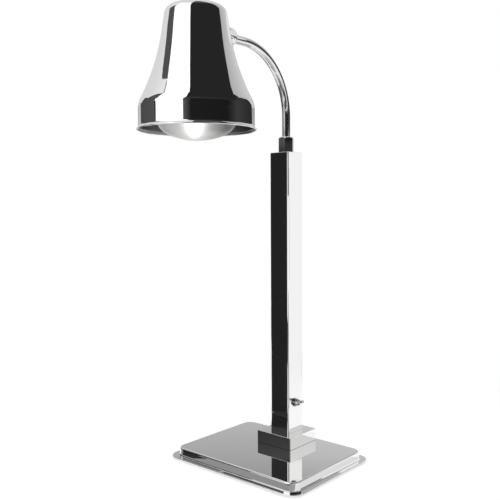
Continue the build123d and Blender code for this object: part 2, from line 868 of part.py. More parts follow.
def terminal_block():
    """Three-way block on the post's rear wall."""
    block = Pos(0, post_y + post_inner_half, block_bottom) * Box(
        block_width, block_depth, block_height, align=(Align.CENTER, Align.MAX, Align.MIN)
    )
    block -= terminal_places() * disc(terminal_screw_radius + thread_clearance, -terminal_screw_depth, 0)
    hole_low = -post_wall - block_screw_length
    return block - rear_face(block_middle()) * disc(block_screw_radius + thread_clearance, hole_low, 0)


def terminal_screws():
    slotted = disc(terminal_screw_radius, -terminal_screw_depth, terminal_screw_stand)
    slot = Box(2 * terminal_screw_radius, screw_slot_width, terminal_screw_stand, align=standing)
    return Part() + terminal_places() * (slotted - slot)


def terminal_block_screw():
    """Screw from the post's rear face into the terminal block."""
    pan_screw = screw(
        block_screw_radius,
        block_screw_length,
        block_screw_head_radius,
        block_screw_head_height,
    )
    return rear_face(block_middle()) * Rot(X=180) * pan_screw


def earth_frame():
    """Frame on the inside of the post's front wall, with Z pointing into the post."""
    return Plane(origin=(0, post_y - post_inner_half, earth_stud_height), x_dir=(-1, 0, 0), z_dir=(0, 1, 0))


def earth_stud():
    return earth_frame() * disc(earth_stud_radius, 0, earth_stud_length)


def earth_nut():
    low = earth_stud_length - 2 * earth_nut_thickness
    high = low + earth_nut_thickness
    return earth_frame() * plain_nut(earth_nut_across_flats, low, high, earth_stud_radius + thread_clearance)


def tab_face():
    """X of the switch tabs' ends, inside the post."""
    return post_side / 2 - post_wall - switch_body_depth - tab_length


def feed_leads():
    """Two insulated leads from the terminal block down to the switch's tabs."""
    near_x = tab_face() + tab_length / 2
    far_x = tab_face() - lead_radius
    upper_tab = switch_height + tab_spacing / 2 + tab_thickness / 2
    lower_tab = switch_height - tab_spacing / 2
    bend_z = (block_bottom + upper_tab) / 2
    bend_radius = 3 * lead_radius
    lead_y = post_y + tab_width
    short = bent_rod(
        [(-terminal_pitch, lead_y, block_bottom), (-terminal_pitch, lead_y, bend_z + bend_radius),
         (near_x, post_y, bend_z - bend_radius), (near_x, post_y, upper_tab)],
        bend_radius, lead_radius,
    )
    long_y = lead_y + terminal_pitch
    long = bent_rod(
        [(-terminal_pitch, long_y, block_bottom), (-terminal_pitch, long_y, bend_z + 2 * bend_radius),
         (far_x, post_y, bend_z - bend_radius), (far_x, post_y, lower_tab)],
        bend_radius, lead_radius,
    )
    return Part() + [short, long]


def post_cable():
    """Sheathed cable on the post's axis, from the terminal block up through the bush."""
    top = arm_foot_z - running_clearance
    return post_axis * disc(cable_radius, block_bottom + block_height, top)


def arm_cable():
    """The cable's stretch inside the arm tube, up to the ball."""
    return sweep(Pos(0, post_y, arm_foot_z) * Circle(cable_radius), path=arm_path(tube_end_depth))


def head_lead_runs(allowance=0.0):
    """Two leads through the nipple into the lampholder's side, thicker by an allowance."""
    level = ball_z
    entry_z = level + lead_spacing * 2
    start_y = ball_y - nipple_start
    bend_y = ball_y - nipple_end - lead_spacing
    entry_y = shade_y + holder_radius
    runs = Part()
    for side in (-1, 1):
        near_x = side * lead_spacing / 2
        far_x = side * lead_spacing * 1.5
        points = [
            (near_x, start_y, level),
            (near_x, bend_y, level),
            (far_x, (bend_y + entry_y) / 2 - lead_spacing, entry_z),
            (far_x, entry_y - lead_spacing, entry_z),
        ]
        runs += bent_rod(points, 2 * lead_radius, lead_radius + allowance)
    return runs


def head_leads():
    return head_lead_runs()


def build_pieces():
    """Every piece of the lamp under its own name."""
    pieces = {
        "base_cover": base_cover(),
        "ballast_plate": ballast_plate(),
        "base_bottom_plate": base_bottom_plate(),
        "bottom_plate_screws": bottom_plate_screws(),
        "foot_screws": foot_screws(),
        "post_tube": post_tube(),
        "post_flange": post_flange(),
        "post_bolts": post_bolts(),
        "foot_collar": foot_collar(),
        "post_top_cap": post_top_cap(),
        "post_bush": post_bush(),
        "lower_friction_washer": lower_friction_washer(),
        "upper_friction_washer": upper_friction_washer(),
        "gland_nut": gland_nut(),
        "arm_tube": arm_tube(),
        "arm_stem_ring": arm_stem_ring(),
        "swivel_ball": swivel_ball(),
        "ball_seat": ball_seat(),
        "ball_inner_washer": ball_inner_washer(),
        "swivel_nipple": swivel_nipple(),
        "nipple_ball_nut": nipple_ball_nut(),
        "outer_saddle": outer_saddle(),
        "inner_saddle": inner_saddle(),
        "nipple_spring_washer": nipple_spring_washer(),
        "nipple_lock_nut": nipple_lock_nut(),
        "shade": shade(),
        "lampholder_foot": lampholder_foot(),
        "foot_plate_screws": foot_plate_screws(),
        "foot_plate_nuts": foot_plate_nuts(),
        "holder_screws": holder_screws(),
        "lampholder_body": lampholder_body(),
        "lampholder_shell": lampholder_shell(),
        "lampholder_contact": lampholder_contact(),
        "bulb_glass": bulb_glass(),
        "bulb_cap": bulb_cap(),
        "bulb_contact": bulb_contact(),
        "bulb_stem": bulb_stem(),
        "bulb_supports": bulb_supports(),
        "bulb_filament": bulb_filament(),
        "switch_body": switch_body(),
        "switch_bushing": switch_bushing(),
        "switch_lock_washer": switch_lock_washer(),
        "switch_nut": switch_nut(),
        "switch_lever": switch_lever(),
        "switch_terminals": switch_terminals(),
        "cord_grommet": cord_grommet(),
        "terminal_block": terminal_block(),
        "terminal_screws": terminal_screws(),
        "terminal_block_screw": terminal_block_screw(),
        "earth_stud": earth_stud(),
        "earth_nut": earth_nut(),
        "feed_leads": feed_leads(),
        "post_cable": post_cable(),
        "arm_cable": arm_cable(),
        "head_leads": head_leads(),
    }
    for number, place in enumerate(foot_places(), start=1):
        pieces[f"rubber_foot_{number}"] = rubber_foot(place)
    return pieces


os.makedirs("parts", exist_ok=True)
for name, piece in build_pieces().items():
    export_step(piece, f"parts/{name}.step")
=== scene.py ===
import bmesh
import bpy
import numpy as np
from math import cos, pi, radians, sin, tan
from mathutils import Matrix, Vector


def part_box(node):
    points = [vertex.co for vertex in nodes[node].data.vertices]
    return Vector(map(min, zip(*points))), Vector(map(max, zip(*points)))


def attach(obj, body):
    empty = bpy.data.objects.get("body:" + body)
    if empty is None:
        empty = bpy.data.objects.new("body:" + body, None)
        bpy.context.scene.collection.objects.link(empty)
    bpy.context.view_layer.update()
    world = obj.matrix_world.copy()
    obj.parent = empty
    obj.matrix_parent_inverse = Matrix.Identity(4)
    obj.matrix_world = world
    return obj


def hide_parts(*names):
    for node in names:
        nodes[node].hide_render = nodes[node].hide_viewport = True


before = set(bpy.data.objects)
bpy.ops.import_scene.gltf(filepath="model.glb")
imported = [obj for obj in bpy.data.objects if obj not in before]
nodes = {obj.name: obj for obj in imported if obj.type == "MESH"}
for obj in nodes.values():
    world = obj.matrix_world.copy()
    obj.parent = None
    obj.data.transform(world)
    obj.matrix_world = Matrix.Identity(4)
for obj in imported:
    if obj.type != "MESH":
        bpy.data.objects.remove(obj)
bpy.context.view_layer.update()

# The studio. A white room lit evenly, a pale floor, and a camera a little above half the lamp's height
# that looks slightly down. The polished steel shows the room, so white, grey and black cards stand round
# the lamp where only reflections see them.
camera_place = (0.73143, -0.81179, 0.4240)
camera_turn, camera_dip, camera_roll = 41.07, 3.30, -0.29
camera = bpy.data.objects.new("camera", bpy.data.cameras.new("camera"))
bpy.context.scene.collection.objects.link(camera)
camera.data.sensor_width = 36.0
camera.data.lens = 49.216
camera.matrix_world = (
    Matrix.Translation(camera_place)
    @ Matrix.Rotation(radians(camera_turn), 4, "Z")
    @ Matrix.Rotation(radians(90 - camera_dip), 4, "X")
    @ Matrix.Rotation(radians(camera_roll), 4, "Z")
)
bpy.context.scene.camera = camera
bpy.context.scene.view_settings.view_transform = "Standard"


def wire(tree, kind, settings=None, **inputs):
    """Adds a shader node. Values go into its sockets, and sockets of other nodes are linked to them.
    An input is named, or numbered as in _0."""
    node = tree.nodes.new(kind)
    for name, value in (settings or {}).items():
        setattr(node, name, value)
    for name, value in inputs.items():
        socket = node.inputs[int(name[1:])] if name[1:].isdigit() else node.inputs[name.replace("_", " ")]
        if isinstance(value, bpy.types.NodeSocket):
            tree.links.new(value, socket)
        else:
            socket.default_value = value
    return node


def maths(tree, operation, first, second=0.0):
    """The result of one operation on two numbers."""
    return wire(tree, "ShaderNodeMath", {"operation": operation}, _0=first, _1=second).outputs[0]


def vector_maths(tree, operation, *inputs, output="Vector"):
    """The result of one operation on points or directions, as a Vector or as a Value."""
    numbered = {f"_{place}": value for place, value in enumerate(inputs)}
    return wire(tree, "ShaderNodeVectorMath", {"operation": operation}, **numbered).outputs[output]


def between(tree, factor, low, high, start=0.0, end=1.0):
    """A number that goes from low to high as factor goes from start to end, and stops there."""
    return wire(tree, "ShaderNodeMapRange", _0=factor, _1=start, _2=end, _3=low, _4=high).outputs[0]


def blank_finish(name):
    """A material with only its output node, and that node."""
    finish = bpy.data.materials.new(name)
    finish.use_nodes = True
    finish.node_tree.nodes.clear()
    return finish, finish.node_tree, finish.node_tree.nodes.new("ShaderNodeOutputMaterial")


def grey(value):
    """An opaque grey."""
    return (value, value, value, 1.0)


def seen_directly(tree):
    """1 for the rays of the camera, of reflections and of glass, and 0 for those that light things."""
    rays = tree.nodes.new("ShaderNodeLightPath")
    direct = maths(tree, "MAXIMUM", rays.outputs["Is Camera Ray"], rays.outputs["Is Glossy Ray"])
    return maths(tree, "MAXIMUM", direct, rays.outputs["Is Transmission Ray"])


light_given, light_seen = 0.70, 1.0
room = bpy.data.worlds.new("white_room")
bpy.context.scene.world = room
room.use_nodes = True
tree = room.node_tree
background = tree.nodes["Background"]
background.inputs["Color"].default_value = grey(1.0)
tree.links.new(between(tree, seen_directly(tree), light_given, light_seen), background.inputs["Strength"])

softbox_place = (0.35, -0.55, 2.1)
softbox_lean, softbox_hinge = 18, (1, 0.6, 0)
softbox_data = bpy.data.lights.new("overhead_softbox", "AREA")
softbox_data.shape = "RECTANGLE"
softbox_data.size = 1.6
softbox_data.size_y = 1.2
softbox_data.energy = 14.0
softbox = bpy.data.objects.new("overhead_softbox", softbox_data)
softbox.matrix_world = (
    Matrix.Translation(softbox_place) @ Matrix.Rotation(radians(softbox_lean), 4, softbox_hinge)
)
bpy.context.scene.collection.objects.link(softbox)
softbox.visible_glossy = False


def sheet_of_points(points, across, along, closed_across=False, closed_along=False):
    """Quads over a grid of points given row by row: along rows of across points each. A closed
    direction joins its last line to its first."""
    rows = np.arange(along if closed_along else along - 1)
    cols = np.arange(across if closed_across else across - 1)
    a = (rows[:, None] * across + cols[None, :]).ravel()
    b = (rows[:, None] * across + (cols[None, :] + 1) % across).ravel()
    c = (((rows[:, None] + 1) % along) * across + (cols[None, :] + 1) % across).ravel()
    d = (((rows[:, None] + 1) % along) * across + cols[None, :]).ravel()
    return points.reshape(-1, 3), np.stack([a, b, c, d], axis=1)


def put_mesh(name, points, quads):
    """A mesh object of these points and quads, with doubled points merged and faces turned outwards."""
    mesh = bpy.data.meshes.new(name)
    mesh.from_pydata(points.tolist(), [], quads.tolist())
    work = bmesh.new()
    work.from_mesh(mesh)
    bmesh.ops.remove_doubles(work, verts=work.verts, dist=1e-7)
    bmesh.ops.recalc_face_normals(work, faces=work.faces)
    work.to_mesh(mesh)
    work.free()
    mesh.shade_smooth()
    piece = bpy.data.objects.new(name, mesh)
    bpy.context.scene.collection.objects.link(piece)
    return piece


# Near the lamp the floor takes its shadow, and further off it is the white of the background.
lamp_middle = (0, 0.07, 0)
shadow_reach, white_reach = 0.20, 0.75
floor_finish, tree, out = blank_finish("pale_floor")
paint = wire(tree, "ShaderNodeBsdfDiffuse", Color=grey(0.80))
glow = wire(tree, "ShaderNodeEmission", Color=grey(1.0), Strength=0.34)
both = wire(tree, "ShaderNodeAddShader", _0=paint.outputs[0], _1=glow.outputs[0])
place = wire(tree, "ShaderNodeTexCoord").outputs["Object"]
away = vector_maths(tree, "DISTANCE", place, lamp_middle, output="Value")
far = between(tree, away, 0.0, 1.0, shadow_reach, white_reach)
plain_white = wire(tree, "ShaderNodeEmission", Color=grey(1.0), Strength=1.0)
seen = wire(tree, "ShaderNodeMixShader", _0=far, _1=both.outputs[0], _2=plain_white.outputs[0])
lit = wire(tree, "ShaderNodeMixShader", _0=seen_directly(tree), _1=paint.outputs[0], _2=seen.outputs[0])
tree.links.new(lit.outputs[0], out.inputs["Surface"])
floor_edges = np.array([-12.0, 12.0])
corners = np.stack([*np.meshgrid(floor_edges, floor_edges), np.zeros((2, 2))], axis=-1)
floor = put_mesh("floor", *sheet_of_points(corners, 2, 2))
floor.data.materials.append(floor_finish)

card_glow, tree, out = blank_finish("card_glow")
tone = wire(tree, "ShaderNodeAttribute", {"attribute_name": "tone"})
glow = wire(tree, "ShaderNodeEmission", Color=grey(1.0), Strength=tone.outputs["Fac"])
tree.links.new(glow.outputs[0], out.inputs["Surface"])


def only_reflected(card, tones):
    """Makes the mesh a card that only reflections see, with one tone, or one for each of its points."""
    tones = np.resize(tones, len(card.data.vertices))
    card.data.attributes.new("tone", "FLOAT", "POINT").data.foreach_set("value", tones)
    card.data.materials.append(card_glow)
    card.visible_camera = card.visible_diffuse = card.visible_shadow = False
    card.visible_transmission = card.visible_volume_scatter = False


def standing_card(name, low_edge, high_edge, tones, distance=2.0):
    """A card curved round the lamp. Its lower and upper edges each run straight from one angle in
    degrees and height to another, and the points between are blended from them. The tones are one for
    all, or those of the ends of the lower edge and then of the upper edge, blended in the same way."""
    columns, rows = 33, 9
    u, v = np.meshgrid(np.linspace(0, 1, columns), np.linspace(0, 1, rows))
    share = np.stack([(1 - u) * (1 - v), u * (1 - v), (1 - u) * v, u * v], axis=-1)
    at = share @ np.array([*low_edge, *high_edge], float)
    angle = np.radians(at[..., 0])
    points = np.stack([distance * np.cos(angle), distance * np.sin(angle), at[..., 1]], axis=-1)
    only_reflected(put_mesh(name, *sheet_of_points(points, columns, rows)), share @ np.resize(tones, 4))


def wall_card(name, first, last, low, high, tones, distance=2.1):
    """A standing card with level edges and upright ends."""
    standing_card(name, ((first, low), (last, low)), ((first, high), (last, high)), tones, distance)


card_top = 4.6


def ceiling_card(name, first, last, tone):
    """A level card over the lamp between two angles: radius times the cosine and sine of the angle."""
    radii, angles = np.array([0.02, 1.1, 2.2]), np.radians(np.linspace(first, last, 17))
    radius, angle = np.meshgrid(radii, angles)
    height = np.full(radius.shape, card_top)
    points = np.stack([radius * np.cos(angle), radius * np.sin(angle), height], axis=-1)
    only_reflected(put_mesh(name, *sheet_of_points(points, len(radii), len(angles))), tone)


# In each direction the nearest card is seen, so cards that overlap stand at different distances.
near = 1.0
white, black = 1.30, 0.020
wall_card("white_left", -131, -65.5, 0.72, card_top, white, 2.15)
wall_card("black_front", -65.5, 52, 1.60, card_top, black)
standing_card("black_front_shoulder", ((-71, 1.15), (52, 1.15)), ((-65.5, 1.60), (52, 1.60)),
              (0.050, 0.016, black, black), 2.1)
wall_card("grey_front_edge", -71, -57, 0.62, 1.15, (0.100, 0.013, 0.100, 0.013))
standing_card("grey_front_near", ((-71, 0.46), (12, 0.46)), ((-71, 0.576), (12, 0.592)),
              (0.06, 0.05, 0.07, 0.028), near / 2)
standing_card("black_front_low", ((-57, 0.62), (16, 0.72)), ((-57, 1.15), (16, 1.15)),
              (0.013, 0.011, 0.013, 0.011), 2.1)
wall_card("grey_right_rise", 12, 34, 0.635, 0.87, (0.013, 0.049, 0.013, 0.049), near)
wall_card("grey_right_bar", 34, 54, 0.635, 1.14, (0.049, 0.036, 0.030, 0.036), near)
standing_card("grey_right_end", ((54, 0.635), (94, 0.635)), ((54, 1.14), (76, 1.01)),
              (0.036, 0.022, 0.036, 0.022), near)
wall_card("grey_right_wall", 52, 126, 1.15, card_top, (0.46, 0.74, 0.48, 0.78), 2.15)
wall_card("grey_right_low", 34, 49, 0.10, 0.62, (0.10, 0.13, 0.10, 0.13))
wall_card("grey_right_far", 49, 60, 1.15, 1.49, (0.70, 0.76, 0.80, 0.84), 4.0)
wall_card("grey_right_back", 88, 126, 0.86, 1.15, (0.64, 0.66, 0.66, 0.72), 2.15)
wall_card("backdrop_right", 86, 126, 0.0, 0.73, (0.95, 0.95, 0.545, 0.545), 2.0)
wall_card("backdrop_right_top", 86, 126, 0.73, 0.88, (0.545, 0.545, 0.36, 0.36), 2.0)
wall_card("backdrop_left", 126, 173, 0.0, 0.90, (0.88, 0.88, 0.31, 0.31), 2.0)
wall_card("grey_left_edge", 168, 186, 0.640, 0.80, (0.66, 0.46, 0.66, 0.50), near)
wall_card("grey_left_back", 126, 200, 0.82, card_top, (0.66, 0.76, 0.76, 0.80), 2.15)
wall_card("grey_left_side", 200, 229, 0.82, card_top, (0.76, 0.88, 0.80, 0.90), 2.15)
wall_card("black_left_foot", -187, -126.5, 0.0, 0.66, 0.018, 2.0)
wall_card("black_left_top", -136, -126.2, 0.585, 0.615, 0.018, near)
wall_card("grey_left_flange", -150, -136, 0.52, 0.632, 0.18, near)
wall_card("grey_left_collar", -187, -126.5, 0.66, 0.81, (0.036, 0.036, 0.070, 0.070), 2.0)
wall_card("black_left_mirrored", -187, -126.5, 0.81, 1.00, 0.026, 2.0)
standing_card("grey_left_low", ((-174.5, 0.635), (-126.2, 0.635)), ((-166, 1.02), (-127, 1.02)),
              (0.072, 0.088, 0.066, 0.085), near)
standing_card("grey_left_tall", ((-159, 1.40), (-127, 1.40)), ((-143, 2.24), (-127.5, 2.54)), 0.085, 1.98)
standing_card("grey_left_line", ((-131, 2.54), (-128, 2.54)), ((-130, 3.4), (-128, 3.4)), 0.3)
ceiling_card("grey_ceiling_front", -65.5, 52, 0.085)
ceiling_card("grey_ceiling_back", 52, 229, 0.75)
ceiling_card("grey_ceiling_left", -131, -65.5, 0.74)


def floor_card(name, corners, tones, level):
    """A flat card with these four corners, given row by row, a little above the floor."""
    points = np.dstack([corners, np.full((2, 2), level)])
    only_reflected(put_mesh(name, *sheet_of_points(points, 2, 2)), tones)


def flat_card(name, corner, along, across, tones, level=0.0008):
    """A floor card with one corner and the two sides that start there. The tones are one for all, or
    those of the corner, the end of along, the end of across and the corner opposite."""
    u, v = np.meshgrid([0.0, 1.0], [0.0, 1.0])
    corners = np.array(corner) + u[..., None] * np.array(along) + v[..., None] * np.array(across)
    floor_card(name, corners, tones, level)


# The floor that the steel shows. The post's left face looks down along a dark wedge that widens away
# from the post, the tray on grey parts beside it, and the shade's lining and the arm's underside on
# grey parts further off. Where two overlap, the higher is seen.
wedge_from, wedge_start, wedge_end, wedge_turn = np.array([0.0, 0.108]), 0.250, 2.4, radians(-128.6)
wedge_way = np.array([cos(wedge_turn), sin(wedge_turn)])
wedge_side = np.array([-wedge_way[1], wedge_way[0]])
u, v = np.meshgrid([wedge_start, wedge_end], [-1.0, 1.0])
half_width = 0.015 + 0.030 * u
wedge = wedge_from + u[..., None] * wedge_way + (v * half_width)[..., None] * wedge_side
floor_card("dark_floor_wedge", wedge, 0.018, 0.0010)
flat_card("grey_floor_foot", (-0.162, -0.098), (0.045, 0.0), (0.0, 0.038), 0.030, 0.0009)
flat_card("grey_floor_apron", (-0.22, -0.14), (0.36, 0.0), (0.0, 0.10), 0.30)
flat_card("grey_floor_behind", (-0.35, 0.60), (0.65, 0.0), (0.0, 0.35), (0.42, 0.46, 0.42, 0.46))
flat_card("grey_floor_right", (0.29, -0.15), (0.45, 0.0), (0.0, 0.45), (0.46, 0.60, 0.46, 0.60))
flat_card("grey_floor_front", (-0.9, -1.3), (3.1, 0.0), (0.0, 0.75), (0.10, 0.05, 0.16, 0.10), 0.0006)
flat_card("grey_floor_left", (-1.8, 0.44), (1.3, 0.0), (0.0, 0.61), 0.32)
flat_card("grey_floor_lining", (-1.8, 0.10), (1.3, 0.0), (0.0, 0.34), 0.12)
flat_card("grey_floor_far", (-2.4, -1.3), (1.5, 0.0), (0.0, 1.35), 0.12, 0.0006)
flat_card("grey_floor_corner", (0.06, -0.20), (0.21, 0.0), (0.0, 0.06), (0.12, 0.10, 0.12, 0.10))
flat_card("grey_floor_turn", (0.14, -0.14), (0.13, 0.0), (0.0, 0.10), (0.34, 0.34, 0.36, 0.36), 0.0009)
flat_card("grey_floor_near", (-0.02, -0.55), (1.2, 0.0), (0.0, 0.32), (0.22, 0.22, 0.32, 0.32))
flat_card("grey_floor_side", (0.14, -0.06), (0.14, 0.0), (0.0, 0.26), (0.78, 0.90, 0.78, 0.90))

# A small curved card lights the front of the swivel ball: a patch of a sphere round it.
ball_middle, ball_card_distance = np.array([0, -0.0219, 0.6923]), 0.05
angles, rises = np.radians(np.linspace(-25, 72, 13)), np.radians(np.linspace(6, 62, 9))
angle, rise = np.meshgrid(angles, rises)
ball_card = np.stack([np.cos(rise) * np.cos(angle), np.cos(rise) * np.sin(angle), np.sin(rise)], axis=-1)
ball_card = ball_middle + ball_card_distance * ball_card
only_reflected(put_mesh("white_ball_card", *sheet_of_points(ball_card, len(angles), len(rises))), 0.85)

# The base tray. Stainless sheet drawn into a shallow box with rounded corners and a flange at its
# foot, polished like a mirror. A zinc-plated plate screwed underneath closes it over its ballast.


def texture_place(tree, centre=(0, 0, 0), stretch=(1, 1, 1)):
    """The piece's own coordinates, measured from centre and stretched."""
    place = wire(tree, "ShaderNodeTexCoord").outputs["Object"]
    return vector_maths(tree, "MULTIPLY", vector_maths(tree, "SUBTRACT", place, centre), stretch)


def cloud(tree, place, scale, detail=2.0):
    """Noise of this scale, a number about 0.5 that changes smoothly from place to place."""
    noise = wire(tree, "ShaderNodeTexNoise", Vector=place, Scale=scale, Detail=detail, Roughness=0.6)
    return noise.outputs[0]


def tinted(tree, factor, dark, light):
    """A colour that goes from dark to light as factor goes from 0 to 1."""
    mix = wire(tree, "ShaderNodeMix", {"data_type": "RGBA"}, _0=factor, _6=(*dark, 1), _7=(*light, 1))
    return mix.outputs[2]


def raised(tree, height, distance, below=None):
    """The normal of a surface raised by distance where height is 1, over another such normal."""
    bump = wire(tree, "ShaderNodeBump", Strength=1.0, Distance=distance, Height=height)
    if below:
        tree.links.new(below, bump.inputs["Normal"])
    return bump.outputs[0]


def polished(name, tone, smooth, dull, centre=(0, 0, 0), stretch=(1, 1, 1), wave=0.00002,
             wave_scale=14.0, shaded_to=None):
    """Polished metal: smudges and fine polishing lines change its gloss from smooth to dull, a faint
    cloudiness its tone, and a long low wave in the metal bends what it reflects. Below a given height
    it is painted darker: a painted contact shadow where the piece stands on another part."""
    finish, tree, out = blank_finish(name)
    place = texture_place(tree, centre)
    lines = cloud(tree, texture_place(tree, centre, stretch), 900.0)
    marks = maths(tree, "MULTIPLY", lines, cloud(tree, place, 38.0, 4.0))
    colour = tinted(tree, cloud(tree, place, 9.0), [0.97 * part for part in tone], tone)
    # Painted contact shadow: below the given height the colour is mixed to dark grey.
    if shaded_to:
        height = wire(tree, "ShaderNodeSeparateXYZ", _0=place).outputs["Z"]
        unshaded = between(tree, height, 0.0, 1.0, shaded_to - 0.0005, shaded_to)
        mix = wire(tree, "ShaderNodeMix", {"data_type": "RGBA"}, _0=unshaded, _6=grey(0.40), _7=colour)
        colour = mix.outputs[2]
    shine = wire(
        tree, "ShaderNodeBsdfPrincipled", Metallic=1.0, Base_Color=colour,
        Roughness=between(tree, marks, smooth, dull, 0.12, 0.42),
        Normal=raised(tree, cloud(tree, place, wave_scale, 1.0), wave),
    )
    tree.links.new(shine.outputs[0], out.inputs["Surface"])
    return finish


def plated(name, tone, film, smooth, dull, grain=520.0):
    """Zinc or tin plate: its grains differ a little in tone, a milky film lies over part of it, and it
    has fine pits and handling scratches."""
    finish, tree, out = blank_finish(name)
    place = texture_place(tree)
    grains = wire(tree, "ShaderNodeTexVoronoi", Vector=place, Scale=grain).outputs["Color"]
    patches = between(tree, cloud(tree, place, 70.0, 4.0), 0.0, 1.0, 0.40, 0.66)
    mottled = maths(tree, "MULTIPLY", patches, between(tree, grains, 0.55, 1.0))
    scratches = cloud(tree, texture_place(tree, (0, 0, 0), (1, 14, 1)), 700.0, 3.0)
    shine = wire(
        tree, "ShaderNodeBsdfPrincipled", Metallic=1.0,
        Base_Color=tinted(tree, mottled, tone, film),
        Roughness=between(tree, mottled, smooth, dull),
        Normal=raised(tree, scratches, 0.00003, raised(tree, cloud(tree, place, 1600.0), 0.00002)),
    )
    tree.links.new(shine.outputs[0], out.inputs["Surface"])
    return finish


def moulded(name, dark, light, smooth, dull, grain, depth, **gloss):
    """Paint, rubber, plastic or glaze: a clouded colour, an uneven gloss with specks of dust, and a
    grain of the given scale and depth."""
    finish, tree, out = blank_finish(name)
    place = texture_place(tree)
    clouds = cloud(tree, place, 45.0, 4.0)
    dust = between(tree, cloud(tree, place, 2400.0, 1.0), 0.0, 1.0, 0.62, 0.74)
    broad = between(tree, clouds, 0.0, 0.8, 0.3, 0.7)
    uneven = maths(tree, "ADD", broad, maths(tree, "MULTIPLY", dust, 0.2))
    shine = wire(
        tree, "ShaderNodeBsdfPrincipled", Base_Color=tinted(tree, uneven, dark, light),
        Roughness=between(tree, uneven, smooth, dull),
        Normal=raised(tree, cloud(tree, place, grain, 3.0), depth), **gloss,
    )
    tree.links.new(shine.outputs[0], out.inputs["Surface"])
    return finish


def dress(finish, *names):
    """Gives these CAD nodes their finish."""
    for name in names:
        for place in nodes[name].material_slots:
            place.material = finish


stainless = (0.90, 0.90, 0.895)
tray_middle = (0, 0.073, 0)
tray_steel = polished("polished_tray_steel", stainless, 0.012, 0.045, tray_middle, (1, 9, 1), 0.00001)
dress(tray_steel, "base_cover")
zinc = plated("bright_zinc_plate", (0.62, 0.63, 0.65), (0.78, 0.78, 0.76), 0.22, 0.48)
dress(zinc, "base_bottom_plate", "bottom_plate_screws", "foot_screws")
ballast_paint = moulded("ballast_paint", (0.022, 0.022, 0.024), (0.040, 0.040, 0.042), 0.35, 0.55, 380.0,
                        0.00006, Coat_Weight=0.3, Coat_Roughness=0.2)
dress(ballast_paint, "ballast_plate")
foot_rubber = moulded("foot_rubber", (0.020, 0.020, 0.021), (0.045, 0.045, 0.046), 0.62, 0.86, 900.0,
                      0.00006)
dress(foot_rubber, "rubber_foot_1", "rubber_foot_2", "rubber_foot_3", "rubber_foot_4")

# The post. Square stainless tube, its mill finish polished out along its length, bolted down by a zinc
# flange that a loose square collar covers, with a painted contact shadow along the collar's foot. A plate
# closes the top and holds the arm's brass bush.
post_axis = (0, 0.124, 0)
post_steel = polished("polished_post_steel", stainless, 0.015, 0.050, post_axis, (9, 9, 1), 0.00001)
dress(post_steel, "post_tube", "post_top_cap")
# The collar is painted dark up to this height above its foot: a painted contact shadow on the tray.
collar_foot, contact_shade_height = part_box("foot_collar")[0][2], 0.0009
collar_steel = polished("polished_collar_steel", stainless, 0.015, 0.050, post_axis, (9, 9, 1), 0.00001,
                        shaded_to=collar_foot + contact_shade_height)
dress(collar_steel, "foot_collar")
dress(zinc, "post_flange", "post_bolts")
bush_brass = polished("turned_brass", (0.72, 0.55, 0.28), 0.14, 0.34, post_axis, (1, 1, 12))
dress(bush_brass, "post_bush")
nylon = moulded("white_nylon", (0.72, 0.72, 0.69), (0.86, 0.86, 0.83), 0.32, 0.50, 520.0, 0.00002,
                Subsurface_Weight=0.25, Subsurface_Scale=0.0008)
dress(nylon, "lower_friction_washer", "upper_friction_washer")

# The arm. Steel tube 14 mm across, bent over a wheel to a long hook and chromium-plated. Its stem
# turns in the post under a long hexagon nut, and its other end is brazed into the swivel ball.
arm_chrome = polished("arm_chrome", (0.82, 0.82, 0.83), 0.100, 0.160, wave=0.000004, wave_scale=30.0)
dress(arm_chrome, "arm_stem_ring", "swivel_ball")


def circles_along(line, beside, radius, sides):
    """Points of a round bar along a line: each point of the line carries a circle square to it, of
    its own radius, which starts in the direction of beside."""
    way = np.gradient(line, axis=0)
    way /= np.linalg.norm(way, axis=1)[:, None]
    across = np.cross(way, beside)
    across /= np.linalg.norm(across, axis=1)[:, None]
    other = np.cross(way, across)
    angle = np.linspace(0, 2 * pi, sides, endpoint=False)
    ring = np.cos(angle)[None, :, None] * across[:, None] + np.sin(angle)[None, :, None] * other[:, None]
    return line[:, None] + np.broadcast_to(radius, len(line))[:, None, None] * ring


arm_low, arm_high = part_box("arm_tube")
tube_radius, tube_wall, bend_radius, tube_sides = 0.007, 0.001, 0.107, 64
stem_y, level_z = arm_high[1] - tube_radius, arm_high[2] - tube_radius
stem_steps, bend_steps, reach_steps = 12, 96, 6
turn = np.linspace(0, pi / 2, bend_steps + 1)
bend_y = stem_y - bend_radius * (1 - np.cos(turn))
bend_z = level_z - bend_radius * (1 - np.sin(turn))
bend = np.stack([bend_y, bend_z], axis=1)
stem_z = np.linspace(arm_low[2], bend[0, 1], stem_steps + 1)[:-1]
stem = np.stack([np.full(stem_steps, stem_y), stem_z], axis=1)
reach_y = np.linspace(bend[-1, 0], arm_low[1], reach_steps + 1)[1:]
reach = np.stack([reach_y, np.full(reach_steps, level_z)], axis=1)
arm_line = np.concatenate([stem, bend, reach])
arm_line = np.column_stack([np.zeros(len(arm_line)), arm_line])
arm_outside = circles_along(arm_line, (1.0, 0.0, 0.0), tube_radius, tube_sides)
arm_inside = circles_along(arm_line, (1.0, 0.0, 0.0), tube_radius - tube_wall, tube_sides)
arm = put_mesh("bent_arm_tube", *sheet_of_points(
    np.concatenate([arm_outside, arm_inside[::-1]]), tube_sides, 2 * len(arm_line), True, True))
arm.data.materials.append(arm_chrome)
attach(arm, "arm")
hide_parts("arm_tube")
nut_chrome = polished("nut_chrome", (0.86, 0.86, 0.87), 0.030, 0.090, post_axis, (1, 1, 10), 0.000006,
                      wave_scale=60.0)
dress(nut_chrome, "gland_nut")

# The head's joint. A turned seat follows the ball, a hollow nipple runs from inside the ball through
# two saddles that grip the shade's wall, and nuts hold both ends.
dress(nut_chrome, "ball_seat", "outer_saddle")
dress(zinc, "ball_inner_washer", "swivel_nipple", "nipple_ball_nut", "inner_saddle",
      "nipple_spring_washer", "nipple_lock_nut")
